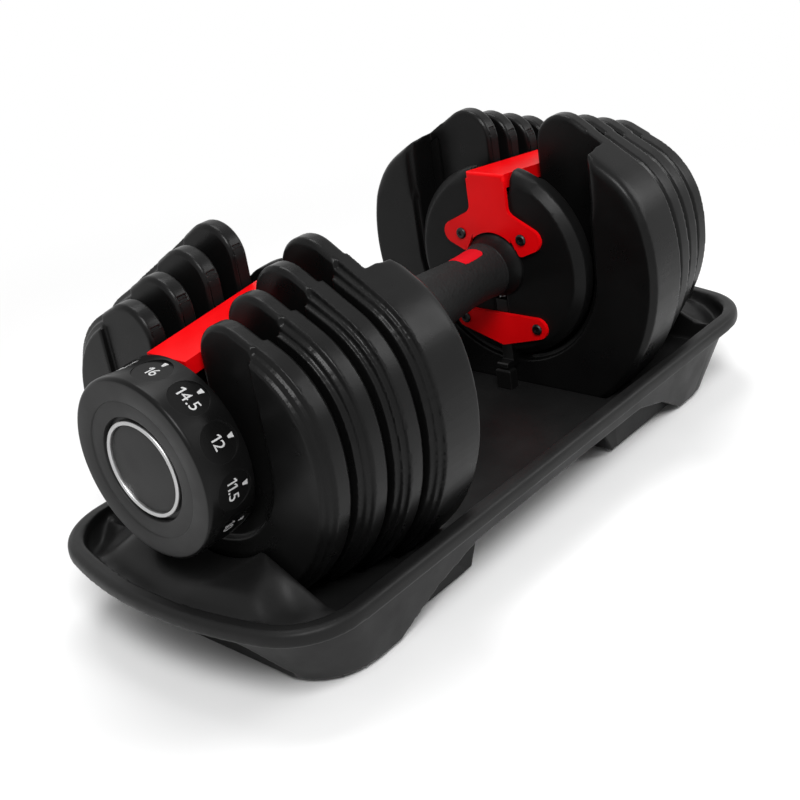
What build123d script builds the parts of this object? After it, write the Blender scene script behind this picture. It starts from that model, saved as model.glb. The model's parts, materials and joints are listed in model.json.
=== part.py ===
from build123d import *
import os
from math import acos, atan2, cos, hypot, pi, radians, sin, sqrt

# Adjustable dumbbell standing in its storage tray
# X runs along the handle, Y across it and Z up; the floor is at zero and sizes are millimetres
# The right end is drawn with the handle axis at height zero, then turned round for the left end

# Clearances
seat_gap = 0.05
running_gap = 0.05
moving_gap = 0.3
side_gap = 0.5

# Handle and its ends
axle_radius = 8.0
axle_set_back = 0.5
grip_half_length = 60.0
grip_middle_radius = 17.2
grip_neck_radius = 15.4
grip_neck_set_back = 14.0
grip_end_radius = 16.6
inlay_half_length = 9.0
inlay_half_width = 7.0
inlay_set_back = 16.0
inlay_corner = 3.0
inlay_bed_radius = 13.2
collar_radius = 19.5
collar_step_radius = 17.0
collar_step_length = 4.0
collar_length = 11.5
end_disc_thickness = 13.0
end_disc_radius = 59.0
end_disc_bevel = 5.0
end_disc_hollow_depth = 5.0
end_disc_rim = 6.0
end_disc_boss_radius = 44.0

# Red bracket, folded from one sheet
sheet = 2.5
bridge_half_width = 13.5
bridge_inner_top = 56.0
bridge_outer_top = 44.5
bridge_flange_depth = 8.0
bridge_dial_gap = 0.8
bridge_rounding = 2.0
tab_bottom_radius = 13.5
ear_place_y = 21.6
ear_place_z = 18.0
ear_tip_y = 27.5
ear_tip_radius = 7.0
ear_heel_y = 20.5
ear_heel_z = 10.5
ear_root_z = 31.0
ear_corner = 3.0
arch_clearance = 0.9
bracket_fillet = 6.0

# Red keeper plate below the collar
keeper_ear_radius = 6.5
keeper_ear_y = 26.5
keeper_ear_z = -37.0
keeper_toe_radius = 5.0
keeper_toe_z = -46.0

# Screws that hold the bracket and keeper
screw_head_radius = 3.4
screw_head_height = 1.4
screw_shank_radius = 2.0
screw_length = 9.0
screw_socket_radius = 1.6
screw_socket_depth = 0.9

# Plates, counted from the dial inwards
plate_count = 4
inner_plate_set_back = 32.5
plate_pitch = 19.0
web_thickness = 10.0
largest_radius = 102.0
radius_step = 5.0
slot_half_width = 16.5
lobe_radius = 17.5
largest_horn_top = 82.5
horn_top_step = 6.7
shoulder_angle = 30.0
horn_chamfer = 1.6
shoulder_rounding = 50.0
channel_half_width = 52.0
rim_outboard = 7.6
rim_inboard = 9.0
rim_chamfer = 3.0
rebate_count = 2
rebate_inset = 2.5
rebate_depth = 2.5
flange_channel_half_width = 61.5
flange_set_back = 6.5
flange_step_width = 3.0
flange_step_depth = 3.0
lug_half_width = 6.0
lug_depth = 7.0

# Steel core inside each plate moulding
core_half_thickness = 2.9
core_cover = 4.0
core_rim_outboard = 3.5
core_rim_inboard = 6.0

# Dial, hub and selector discs
setting_count = 12
dial_radius = 45.8
head_length = 128.5
dial_length = 27.2
dial_wall = 3.5
dial_face_chamfer = 2.5
dial_step_radius = 35.0
dial_step_depth = 0.6
dial_recess_radius = 26.5
dial_recess_depth = 3.4
dial_boss_radius = 16.0
dimple_radius = 9.6
dimple_depth = 1.1
dimple_set_back = 15.0
first_number_turn = -8.0
ring_outer_radius = 24.4
ring_inner_radius = 22.2
ring_height = 2.8
cap_clearance = 0.3
cap_height = 1.6
hub_radius = 11.0
hub_clearance = 1.5
hub_set_back = 13.0
key_half_width = 2.5
key_radius = 13.0
key_set_back = 3.0
keyway_overrun = 9.0
selector_radius = 38.0
selector_thickness = 2.6
selector_clearance = 1.0
rib_inner_radius = 30.0
rib_thickness = 4.0
rib_height = 4.2
lug_gap = 0.6

# Retaining bolt behind the dial cap
bolt_pocket_radius = 10.0
washer_radius = 9.4
washer_thickness = 1.5
bolt_head_radius = 7.0
bolt_head_height = 4.2
bolt_shank_radius = 4.0
bolt_shank_length = 24.0

# Lock slider, its spring and the toothed ring it drops into
lock_half_width = 4.0
lock_thickness = 5.4
lock_top = -22.5
lock_foot_bottom = -66.0
lock_foot_height = 4.0
lock_foot_rounding = 1.2
lock_foot_reach = 6.0
lock_travel = 5.0
peg_half_width = 3.0
peg_height = 6.0
peg_end_gap = 1.2
lock_groove_depth = 6.0
lock_groove_top = -11.5
tooth_ring_height = 5.0
tooth_ring_gap = 0.6
spring_radius = 2.1
spring_wire = 0.9
spring_turns = 4
spring_end_gap = 0.2

# Storage tray
tray_end_margin = 18.0
tray_side_tuck = 5.0
tray_end_bow = 20.0
tray_corner = 40.0
tray_rim_height = 50.0
tray_base_height = 3.0
trough_floor = 4.7
tray_base_inset_x = 26.0
tray_base_inset_y = 17.0
lip_overhang = 3.5
lip_height = 8.0
lip_rounding = 3.4
lip_chamfer = 1.0
lip_width = 8.0
deck_height = 31.5
deck_half_width = 70.0
ledge_height = 46.0
bay_wall = 1.3
moat_height = 43.0
saddle_peak_y = 38.0
saddle_peak_height = 60.5
saddle_root = 3.0
saddle_foot_y = 80.0
saddle_outer_height = 45.0
saddle_end_margin = 6.0
scoop_radius = 61.0
saddle_bite = 1.5
tunnel_base_half = 70.0
tunnel_top_half = 56.0
tunnel_top = 27.0
tunnel_rounding = 8.0
tray_floor = 3.7
tray_pocket_half_width = 39.0
side_pocket_width = 11.5
side_pocket_wall = 4.0
side_pocket_top = 18.0
saddle_pocket_wall = 4.0
saddle_pocket_half_width = 58.0
saddle_pocket_top = 39.5

# Finger recesses under the tray's rim, along the sides and at the ends
side_recess_depth = 25.0
side_recess_base_half = 140.0
side_recess_knee_half = 108.0
side_recess_knee_height = 19.0
side_recess_top_half = 78.0
side_recess_top = 29.0
end_recess_depth = 35.0
end_recess_base_half = 62.0
end_recess_top_half = 42.0
end_recess_top = 30.0
recess_rounding = 9.0
divider_height = 6.0

# Posts in the tray that push the locks up, and rubber feet
post_margin = 0.5
post_length = 7.0
post_half_width = 5.5
post_rounding = 2.0
post_sink = 1.5
foot_radius = 9.0
foot_height = 4.5
foot_set_back = 68.0
foot_place_y = 51.0
foot_rounding = 1.0

# Sizes worked out from those above
setting_angle = 360.0 / setting_count
full_code = 2 ** plate_count - 1
grip_neck_place = grip_half_length - grip_neck_set_back
inlay_place = grip_half_length - inlay_set_back
end_face = grip_half_length + collar_length
end_disc_back = end_face + end_disc_thickness
dial_face = end_face + head_length
dial_start = dial_face - dial_length
dimple_place = dial_face - dimple_set_back
hub_start = end_disc_back + hub_clearance
hub_end = dial_face - hub_set_back
axle_end = hub_end - axle_set_back
bridge_outer_face = dial_start - bridge_dial_gap
outer_plate_place = end_face + inner_plate_set_back + plate_pitch * (plate_count - 1)
flange_start = end_face + flange_set_back
key_end = outer_plate_place - key_set_back
lock_foot_end = end_face - lock_foot_reach
post_start = lock_foot_end - post_margin
post_end = post_start + post_length
bracket_face = end_face - sheet
arch_radius = collar_radius + arch_clearance
rib_outer_radius = rib_inner_radius + rib_thickness
lug_outer_radius = rib_inner_radius - lug_gap
web_half = web_thickness / 2
axis_height = tray_base_height + trough_floor + moving_gap + largest_radius
tray_half_length = dial_face + tray_end_margin
foot_place_x = tray_half_length - foot_set_back
tray_half_width = largest_radius - tray_side_tuck
bay_end = outer_plate_place + rim_outboard + side_gap + bay_wall
saddle_outer_place = tray_half_length - saddle_end_margin
side_recess_face = tray_half_width - side_recess_depth
side_pocket_end = side_recess_face - side_pocket_wall
side_pocket_start = side_pocket_end - side_pocket_width
end_recess_face = tray_half_length - end_recess_depth
saddle_pocket_start = bay_end + tray_floor
saddle_pocket_end = end_recess_face - saddle_pocket_wall
far_out = 400.0


def slab(outline, start, stop):
    # Solid of a Y-Z outline between two distances along X
    return extrude(Plane.YZ.offset(start) * outline, amount=stop - start)


def turned(points):
    # Solid turned about the handle axis from X and radius pairs
    return revolve(make_face(Polyline(*points, close=True)), Axis.X)


def block(low, high):
    # Box between two corners
    size = [b - a for a, b in zip(low, high)]
    middle = [(a + b) / 2 for a, b in zip(low, high)]
    return Pos(*middle) * Box(*size)


def side_profile(points, half_width):
    # Solid of an X-Z outline, equally wide on both sides of the middle
    outline = Plane.XZ * make_face(Polyline(*points, close=True))
    return extrude(outline, amount=half_width, both=True)


def band(inner, outer, start_angle, span):
    # Flat ring segment in the Y-Z outline plane
    first = radians(start_angle)
    last = radians(start_angle + span)
    edges = [
        CenterArc((0, 0), outer, start_angle, span),
        Line((outer * cos(last), outer * sin(last)), (inner * cos(last), inner * sin(last))),
        CenterArc((0, 0), inner, start_angle, span),
        Line((inner * cos(first), inner * sin(first)), (outer * cos(first), outer * sin(first))),
    ]
    return make_face(edges)


def plate_place(number):
    return outer_plate_place - plate_pitch * (number - 1)


def plate_radius(number):
    return largest_radius - radius_step * (plate_count - number)


def horn_top(number):
    return largest_horn_top - horn_top_step * (plate_count - number)


def plate_outline(number, inset):
    # Plate outline drawn in by an inset: two round horns beside an open slot, sloping out to a round body
    radius = plate_radius(number) - inset
    lobe = lobe_radius - inset
    lobe_y = slot_half_width + lobe
    lobe_z = horn_top(number) - lobe_radius
    shoulder_y = radius * cos(radians(shoulder_angle))
    shoulder_z = radius * sin(radians(shoulder_angle))
    away = hypot(shoulder_y - lobe_y, shoulder_z - lobe_z)
    bearing = atan2(shoulder_z - lobe_z, shoulder_y - lobe_y) + acos(lobe / away)
    halfway = (pi + bearing) / 2
    touch = Vector(lobe_y + lobe * cos(bearing), lobe_z + lobe * sin(bearing))
    crest = Vector(lobe_y + lobe * cos(halfway), lobe_z + lobe * sin(halfway))
    # Arc that eases the straight slope into the round body
    square = Vector(cos(bearing), sin(bearing))
    downhill = Vector(sin(bearing), -cos(bearing))
    rise = square.dot(touch) - shoulder_rounding
    reach = radius - shoulder_rounding
    centre = square * rise + downhill * sqrt(reach ** 2 - rise ** 2)
    enter = centre + square * shoulder_rounding
    bend = centre + (square + centre.normalized()).normalized() * shoulder_rounding
    leave = centre * (radius / reach)
    edges = [ThreePointArc((-slot_half_width, 0), (0, -slot_half_width), (slot_half_width, 0)),
             ThreePointArc(leave, (0, -radius), (-leave.X, leave.Y))]
    for side in (1, -1):
        half = [Vector(side * point.X, point.Y) for point in (touch, crest, enter, bend, leave)]
        slot_top = (side * slot_half_width, lobe_z)
        edges.append(Line((side * slot_half_width, 0), slot_top))
        edges.append(ThreePointArc(slot_top, half[1], half[0]))
        edges.append(Line(half[0], half[2]))
        edges.append(ThreePointArc(half[2], half[3], half[4]))
    return make_face(edges)


def channel_outline(half_width):
    # U-shaped space round the handle axis, open at the top
    return Circle(half_width) + Pos(0, far_out / 2) * Rectangle(2 * half_width, far_out)


def rim_start(number):
    if number == plate_count:
        return flange_start
    return plate_place(number) - rim_inboard


def rim_stop(number):
    return plate_place(number) + rim_outboard


def inner_channel(number):
    # The innermost plate is dished more widely, so that the handle's end disc sits inside it
    if number == plate_count:
        return flange_channel_half_width
    return channel_half_width


def outer_edges(shape, place):
    # Outline edges of a plate on one flat face, apart from those in the slot
    edges = shape.edges().filter_by(lambda e: abs(e.center().X - place) < seat_gap)
    return edges.filter_by(
        lambda e: abs(e.center().Y) > slot_half_width + 1 or e.center().Z < -channel_half_width)


def plate_body(number):
    # Thick body on both sides of the web, hollowed by a channel round the axis
    middle = plate_place(number)
    start = rim_start(number)
    stop = rim_stop(number)
    body = slab(plate_outline(number, 0), start, stop)
    body = chamfer(outer_edges(body, start), rim_chamfer)
    body = body - slab(channel_outline(inner_channel(number)), start - 1, middle - web_half)
    if number == plate_count:
        step = channel_outline(flange_channel_half_width + flange_step_width)
        body = body - slab(step, start - 1, start + flange_step_depth)
    return body - slab(channel_outline(channel_half_width), middle - web_half, stop + 1)


def plate_rebates(number):
    # Steps round the outer edge, which stop at the foot of each horn
    stop = rim_stop(number)
    cuts = []
    for step in range(1, rebate_count + 1):
        depth = rebate_depth * (rebate_count - step + 1)
        outside = Rectangle(far_out, far_out) - plate_outline(number, rebate_inset * step)
        cuts.append(slab(outside - channel_outline(channel_half_width), stop - depth, stop + 1))
    return cuts


def plate_core(number, grow):
    # Steel horseshoe with a thicker body; grow makes the pocket that it sits in
    middle = plate_place(number)
    half = core_half_thickness + grow
    outline = plate_outline(number, core_cover - grow)
    web = slab(outline, middle - half, middle + half)
    thick = outline - channel_outline(channel_half_width + core_cover - grow)
    body = slab(thick, middle - core_rim_inboard - grow, middle + core_rim_outboard + grow)
    if number == plate_count:
        deep = outline - channel_outline(flange_channel_half_width + core_cover - grow)
        body = body + slab(deep, flange_start + core_cover - grow, middle)
    return web + body


def plate_moulding(number):
    middle = plate_place(number)
    web = slab(plate_outline(number, 0), middle - web_half, middle + web_half)
    web = chamfer(outer_edges(web, middle - web_half) + outer_edges(web, middle + web_half), horn_chamfer)
    moulding = web + plate_body(number)
    for cut in plate_rebates(number):
        moulding = moulding - cut
    lug_outline = Circle(lug_outer_radius) - Circle(lug_outer_radius - lug_depth)
    lug_width = Pos(0, -rib_inner_radius) * Rectangle(2 * lug_half_width, rib_inner_radius)
    lug_outline = lug_outline & lug_width
    lug = slab(lug_outline, middle - web_half - rib_height + side_gap, middle - web_half)
    return moulding + lug - plate_core(number, seat_gap)


def selected(number, setting):
    # Whether a plate is lifted at a dial setting; setting zero is the heaviest
    code = int(full_code * (setting_count - 1 - setting) / (setting_count - 1) + 0.5)
    return code // 2 ** (number - 1) % 2 == 1


def selector_start(number):
    # Inner face of a selector disc, close inside the plate that it serves
    return plate_place(number) - web_half - rib_height - selector_thickness - selector_clearance


def selector_disc(number):
    start = selector_start(number)
    back = start + selector_thickness
    disc = slab(Circle(selector_radius) - Circle(hub_radius + seat_gap), start, back)
    run = 0
    for setting in range(setting_count + 1):
        lifting = setting < setting_count and selected(number, setting)
        if lifting:
            run = run + 1
        elif run > 0:
            # Rib for the settings just passed, laid out clockwise from the bottom
            first = -90.0 - setting_angle * (setting - 0.5)
            arc = band(rib_inner_radius, rib_outer_radius, first, setting_angle * run)
            disc = disc + slab(arc, back, back + rib_height)
            run = 0
    if number == plate_count:
        disc = disc + tooth_ring(start)
    key = block((start - keyway_overrun, -key_half_width - seat_gap, 0),
                (back + keyway_overrun, key_half_width + seat_gap, key_radius + seat_gap))
    return disc - key


def tooth_ring(start):
    # Ring on the inner face with one notch for each dial setting
    inner = -(lock_top - peg_height - side_gap) + tooth_ring_gap
    ring = slab(Circle(selector_radius) - Circle(inner), start - tooth_ring_height, start)
    for setting in range(setting_count):
        notch = block((start - tooth_ring_height - 1, -peg_half_width - moving_gap, -inner - lock_travel),
                      (start, peg_half_width + moving_gap, -inner + 2))
        ring = ring - Rot(setting_angle * setting, 0, 0) * notch
    return ring


def dial_hub():
    tube = slab(Circle(hub_radius) - Circle(axle_radius + running_gap), hub_start, hub_end)
    key = block((hub_start, -key_half_width, axle_radius + 1), (key_end, key_half_width, key_radius))
    return tube + key


def dial_knob():
    recess_floor = dial_face - dial_recess_depth
    step_face = dial_face - dial_step_depth
    outline = make_face(Polyline(
        (dial_start, dial_radius - dial_wall),
        (dial_start, dial_radius),
        (dial_face, dial_radius),
        (dial_face, dial_step_radius),
        (step_face, dial_step_radius - dial_step_depth),
        (step_face, dial_recess_radius),
        (recess_floor, dial_recess_radius),
        (recess_floor, bolt_pocket_radius),
        (hub_end + seat_gap, bolt_pocket_radius),
        (hub_end + seat_gap, hub_radius + seat_gap),
        (dial_start, hub_radius + seat_gap),
        (dial_start, dial_boss_radius),
        (recess_floor - dial_wall, dial_boss_radius),
        (recess_floor - dial_wall, dial_radius - dial_wall),
        close=True,
    ))
    corner = outline.vertices().filter_by(
        lambda v: abs(v.X - dial_face) + abs(v.Y - dial_radius) < seat_gap)
    knob = revolve(chamfer(corner, dial_face_chamfer), Axis.X)
    spot = Pos(dimple_place, 0, dial_radius - dimple_depth) * Circle(dimple_radius)
    spot = extrude(spot, amount=dial_wall)
    for setting in range(setting_count):
        knob = knob - Rot(first_number_turn + setting_angle * setting, 0, 0) * spot
    return knob


def dial_bolt():
    start = hub_end + moving_gap + washer_thickness
    head = slab(RegularPolygon(bolt_head_radius, 6), start, start + bolt_head_height)
    shank = slab(Circle(bolt_shank_radius), axle_end - bolt_shank_length, start)
    return head + shank


def dial_washer():
    start = hub_end + moving_gap
    outline = Circle(washer_radius) - Circle(bolt_shank_radius + seat_gap)
    return slab(outline, start, start + washer_thickness)


def axle():
    rod = slab(Circle(axle_radius), -axle_end, axle_end)
    hole = slab(Circle(bolt_shank_radius + seat_gap), axle_end - bolt_shank_length - 1, axle_end + 1)
    return rod - hole - Rot(0, 0, 180) * hole


def grip_body():
    # Waisted sleeve that swells in the middle for the palm
    half = [
        (grip_half_length, grip_end_radius),
        (grip_neck_place, grip_neck_radius),
        (0, grip_middle_radius),
        (-grip_neck_place, grip_neck_radius),
        (-grip_half_length, grip_end_radius),
    ]
    edges = [
        Spline(*half),
        Line((-grip_half_length, grip_end_radius), (-grip_half_length, 0)),
        Line((-grip_half_length, 0), (grip_half_length, 0)),
        Line((grip_half_length, 0), (grip_half_length, grip_end_radius)),
    ]
    return revolve(make_face(edges), Axis.X)


def inlay_prism(grow):
    length = 2 * (inlay_half_length + grow)
    width = 2 * (inlay_half_width + grow)
    outline = RectangleRounded(length, width, inlay_corner + grow)
    prism = extrude(Pos(inlay_place, 0, 0) * outline, amount=far_out)
    return prism - slab(Circle(inlay_bed_radius - grow), -far_out, far_out)


def grip():
    bore = slab(Circle(axle_radius + seat_gap), -far_out, far_out)
    pocket = inlay_prism(seat_gap)
    return grip_body() - bore - pocket - Rot(0, 0, 180) * pocket


def collar():
    start = grip_half_length + seat_gap
    stop = end_face - seat_gap
    bore = axle_radius + seat_gap
    step = start + collar_step_length
    chamfer = collar_radius - collar_step_radius
    return turned([(start, bore), (start, collar_step_radius), (step - chamfer, collar_step_radius),
                   (step, collar_radius), (stop, collar_radius), (stop, bore)])


def screw_places():
    return [(ear_place_y, ear_place_z), (-ear_place_y, ear_place_z),
            (keeper_ear_y, keeper_ear_z), (-keeper_ear_y, keeper_ear_z)]


def end_disc():
    # Round cover that carries the bracket, the keeper and the sliding lock
    outline = make_face(Polyline(
        (end_face, axle_radius + seat_gap),
        (end_face, end_disc_radius),
        (end_disc_back, end_disc_radius),
        (end_disc_back, end_disc_radius - end_disc_rim),
        (end_disc_back - end_disc_hollow_depth, end_disc_radius - end_disc_rim),
        (end_disc_back - end_disc_hollow_depth, end_disc_boss_radius),
        (end_disc_back, end_disc_boss_radius),
        (end_disc_back, axle_radius + seat_gap),
        close=True,
    ))
    corner = outline.vertices().filter_by(
        lambda v: abs(v.X - end_face) + abs(v.Y - end_disc_radius) < seat_gap)
    disc = revolve(chamfer(corner, end_disc_bevel), Axis.X)
    notch_half = bridge_half_width + moving_gap
    notch_floor = bridge_inner_top - bridge_flange_depth - 2 * sheet
    disc = disc - block((end_face - 1, -notch_half, notch_floor), (end_disc_back + 1, notch_half, far_out))
    groove_half = lock_half_width + moving_gap
    disc = disc - block((end_face - 1, -groove_half, -far_out),
                        (end_face + lock_groove_depth, groove_half, lock_groove_top))
    peg_half = peg_half_width + moving_gap
    peg_low = lock_top - peg_height - lock_travel - 1
    disc = disc - block((end_face, -peg_half, peg_low), (end_disc_back + 1, peg_half, lock_top + 1))
    for y, z in screw_places():
        hole = Pos(y, z) * Circle(screw_shank_radius + seat_gap)
        disc = disc - slab(hole, end_face - 1, end_face + screw_length)
    return disc


def bracket():
    # Face strip with two screw ears, sloping bridge over the plates and a tab that steadies the hub
    slope = (bridge_outer_top - bridge_inner_top) / (bridge_outer_face - bracket_face)
    channel = side_profile([
        (bracket_face, bridge_inner_top),
        (bridge_outer_face, bridge_outer_top),
        (bridge_outer_face, bridge_outer_top - bridge_flange_depth),
        (bracket_face, bridge_inner_top - bridge_flange_depth),
    ], bridge_half_width)
    top_face = channel.faces().sort_by(Axis.Z)[-1]
    channel = fillet(top_face.edges(), bridge_rounding)
    inner_start = bracket_face + sheet
    inner_stop = bridge_outer_face - sheet
    channel = channel - side_profile([
        (inner_start, bridge_inner_top + slope * sheet - sheet),
        (inner_stop, bridge_outer_top - slope * sheet - sheet),
        (inner_stop, -far_out),
        (inner_start, -far_out),
    ], bridge_half_width - sheet)
    strip_high = bridge_inner_top - bridge_flange_depth / 2
    face = Pos(0, strip_high / 2) * Rectangle(2 * bridge_half_width, strip_high)
    tip = Pos(ear_tip_y, ear_place_z) * Circle(ear_tip_radius)
    heel = Pos(ear_heel_y, ear_heel_z) * Circle(ear_corner)
    root = Pos(bridge_half_width - ear_corner, ear_root_z) * Circle(ear_corner)
    ear = make_hull([*tip.edges(), *heel.edges(), *root.edges()])
    face = face + ear + mirror(ear, about=Plane.YZ)
    face = face - Circle(arch_radius)
    for y, z in screw_places()[:2]:
        face = face - Pos(y, z) * Circle(screw_shank_radius + seat_gap)
    front = slab(face, bracket_face, end_face - seat_gap)
    waist = front.edges().filter_by(Axis.X).filter_by(
        lambda e: abs(abs(e.center().Y) - bridge_half_width) < seat_gap
        and ear_root_z < e.center().Z < strip_high - seat_gap)
    front = fillet(waist, bracket_fillet)
    tab_top = bridge_outer_top - bridge_flange_depth / 2
    tab = Pos(0, tab_top / 2) * Rectangle(2 * tab_bottom_radius, tab_top) + Circle(tab_bottom_radius)
    tab = tab - Circle(hub_radius + running_gap)
    return channel + front + slab(tab, inner_stop, bridge_outer_face)


def keeper():
    toe = Pos(0, keeper_toe_z) * Circle(keeper_toe_radius)
    left = Pos(-keeper_ear_y, keeper_ear_z) * Circle(keeper_ear_radius)
    right = Pos(keeper_ear_y, keeper_ear_z) * Circle(keeper_ear_radius)
    face = make_hull([*toe.edges(), *left.edges(), *right.edges()])
    face = face - Circle(-keeper_ear_z - keeper_ear_radius) + left + right
    for y, z in screw_places()[2:]:
        face = face - Pos(y, z) * Circle(screw_shank_radius + seat_gap)
    return slab(face, bracket_face, end_face - seat_gap)


def screw(y, z):
    head = turned([(bracket_face - seat_gap, 0), (bracket_face - seat_gap, screw_head_radius),
                   (bracket_face - screw_head_height / 2, screw_head_radius),
                   (bracket_face - screw_head_height, screw_head_radius - screw_head_height / 2),
                   (bracket_face - screw_head_height, 0)])
    shank = slab(Circle(screw_shank_radius), bracket_face - seat_gap, end_face + screw_length - 1)
    socket = slab(RegularPolygon(screw_socket_radius, 6), bracket_face - far_out,
                  bracket_face - screw_head_height + screw_socket_depth)
    return Pos(0, y, z) * (head + shank - socket)


def lock_slider():
    start = end_face + moving_gap
    bar = block((start, -lock_half_width, lock_foot_bottom),
                (start + lock_thickness, lock_half_width, lock_top))
    foot = block((lock_foot_end, -lock_half_width, lock_foot_bottom),
                 (start + 1, lock_half_width, lock_foot_bottom + lock_foot_height))
    peg_top = lock_top - side_gap
    peg_end = selector_start(plate_count) - peg_end_gap
    peg = block((start, -peg_half_width, peg_top - peg_height), (peg_end, peg_half_width, peg_top))
    toe_edges = foot.edges().filter_by(Axis.Y).filter_by(lambda e: e.center().X < lock_foot_end + 1)
    return bar + fillet(toe_edges, lock_foot_rounding) + peg


def lock_spring():
    # Small coil of square wire between the top of the slider and the top of its groove
    bottom = lock_top + spring_wire / 2 + spring_end_gap
    height = lock_groove_top - lock_top - spring_wire - 2 * spring_end_gap
    path = Helix(height / spring_turns, height, spring_radius)
    wire = sweep((path ^ 0) * Rectangle(spring_wire, spring_wire), path=path, is_frenet=True)
    return Pos(end_face + lock_groove_depth / 2, 0, bottom) * wire


def tray_outline(inset_x, inset_y):
    # Tray plan: straight sides, bowed ends and round corners
    half_x = tray_half_length - inset_x
    half_y = tray_half_width - inset_y
    side_x = half_x - tray_end_bow
    outline = make_face([
        Line((-side_x, -half_y), (side_x, -half_y)),
        ThreePointArc((side_x, -half_y), (half_x, 0), (side_x, half_y)),
        Line((side_x, half_y), (-side_x, half_y)),
        ThreePointArc((-side_x, half_y), (-half_x, 0), (-side_x, -half_y)),
    ])
    return fillet(outline.vertices(), tray_corner - min(inset_x, lip_width))


def tray():
    wall_top = Pos(0, 0, tray_rim_height) * tray_outline(lip_overhang, lip_overhang)
    wall_base = Pos(0, 0, tray_base_height) * tray_outline(tray_base_inset_x, tray_base_inset_y)
    body = loft([wall_base, wall_top], ruled=True)
    lip_base = tray_rim_height - lip_height
    lip = extrude(Pos(0, 0, lip_base) * tray_outline(0, 0), amount=lip_height)
    lip_faces = lip.faces().sort_by(Axis.Z)
    lip = chamfer(lip_faces[0].edges(), lip_chamfer)
    lip = fillet(lip.faces().sort_by(Axis.Z)[-1].edges(), lip_rounding)
    inside = extrude(Pos(0, 0, -far_out) * tray_outline(lip_width, lip_width), amount=2 * far_out)
    body = body + lip
    # Space above the deck and its sloping side ledges, then the lower moat round each saddle
    ledge_half = tray_half_width - lip_width
    well = slab(make_face(Polyline(
        (-deck_half_width, deck_height),
        (deck_half_width, deck_height),
        (ledge_half, ledge_height),
        (ledge_half, far_out),
        (-ledge_half, far_out),
        (-ledge_half, ledge_height),
        close=True,
    )), -bay_end, bay_end)
    body = body - (well & inside)
    for side in (1, -1):
        ends = sorted([side * bay_end, side * far_out])
        moat = block((ends[0], -far_out, moat_height), (ends[1], far_out, far_out))
        body = body - (moat & inside)
    saddle = slab(make_face(Polyline(
        (-saddle_foot_y, moat_height - saddle_root),
        (-saddle_peak_y, saddle_peak_height),
        (saddle_peak_y, saddle_peak_height),
        (saddle_foot_y, moat_height - saddle_root),
        close=True,
    )), bay_end, saddle_outer_place)
    saddle = saddle - side_profile([
        (bay_end, saddle_peak_height),
        (saddle_outer_place, saddle_outer_height),
        (saddle_outer_place + 1, far_out),
        (bay_end, far_out),
    ], far_out)
    saddle = saddle - Pos(0, 0, axis_height) * slab(Circle(scoop_radius), 0, far_out)
    # The saddle bites a little into the wall so that the two join cleanly
    bite = tray_outline(lip_width - saddle_bite, lip_width - saddle_bite)
    saddle = saddle & extrude(bite, amount=far_out)
    body = body + saddle + Rot(0, 0, 180) * saddle
    tunnel = side_profile([
        (-tunnel_base_half, -1),
        (-tunnel_top_half, tunnel_top),
        (tunnel_top_half, tunnel_top),
        (tunnel_base_half, -1),
    ], far_out)
    tunnel_edges = tunnel.edges().filter_by(Axis.Y).filter_by(lambda e: e.center().Z > 1)
    body = body - fillet(tunnel_edges, tunnel_rounding)
    cuts = [saddle_pocket(), side_recess(), end_recess()]
    for number in range(1, plate_count + 1):
        cuts.extend(plate_bay(number))
    cuts.append(foot_bed())
    cuts.append(mirror(foot_bed(), about=Plane.XZ))
    start = rim_start(plate_count) + side_gap + tray_floor
    for side in (1, -1):
        low = min(side * side_pocket_start, side * side_pocket_end)
        high = max(side * side_pocket_start, side * side_pocket_end)
        cuts.append(block((start, low, -1), (bay_end, high, side_pocket_top)))
    post_bed = block((post_start - seat_gap, -post_half_width - seat_gap, deck_height - post_sink - seat_gap),
                     (post_end + seat_gap, post_half_width + seat_gap, deck_height + 1))
    cuts.append(post_bed)
    for cut in cuts:
        body = body - cut - Rot(0, 0, 180) * cut
    return body


def plate_bay(number):
    # Trough under one plate, the thin divider beside it and the pocket below
    radius = plate_radius(number) + moving_gap
    start = rim_start(number) - side_gap
    stop = rim_stop(number) + side_gap
    trough = Pos(0, 0, axis_height) * slab(Circle(radius), start, stop)
    shapes = [trough]
    if number > 1:
        next_start = rim_start(number - 1) - side_gap
        crest = plate_radius(number - 1) - divider_height
        shapes.append(Pos(0, 0, axis_height) * slab(Circle(crest), stop, next_start))
    pocket_top = axis_height - radius - tray_floor
    if pocket_top > tray_base_height + tray_floor:
        shapes.append(block((start + tray_floor, -tray_pocket_half_width, -1),
                            (stop - tray_floor / 2, tray_pocket_half_width, pocket_top)))
    return shapes


def side_recess():
    # Long arched hollow under the rim on one side
    outline = make_face(Polyline(
        (-side_recess_base_half, -1),
        (-side_recess_knee_half, side_recess_knee_height),
        (-side_recess_top_half, side_recess_top),
        (side_recess_top_half, side_recess_top),
        (side_recess_knee_half, side_recess_knee_height),
        (side_recess_base_half, -1),
        close=True,
    ))
    bends = outline.vertices().filter_by(lambda v: v.Y > 0)
    outline = Plane.XZ.offset(side_recess_face) * fillet(bends, recess_rounding)
    return extrude(outline, amount=far_out)


def end_recess():
    # Finger hollow under the rim in the middle of one end
    outline = make_face(Polyline(
        (-end_recess_base_half, -1),
        (-end_recess_top_half, end_recess_top),
        (end_recess_top_half, end_recess_top),
        (end_recess_base_half, -1),
        close=True,
    ))
    bends = outline.vertices().filter_by(lambda v: v.Y > 0)
    return slab(fillet(bends, recess_rounding), end_recess_face, far_out)


def saddle_pocket():
    return block((saddle_pocket_start, -saddle_pocket_half_width, -1),
                 (saddle_pocket_end, saddle_pocket_half_width, saddle_pocket_top))


def foot_bed():
    bed = extrude(Circle(foot_radius + seat_gap), amount=foot_height + seat_gap)
    return Pos(foot_place_x, foot_place_y, 0) * bed


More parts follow.
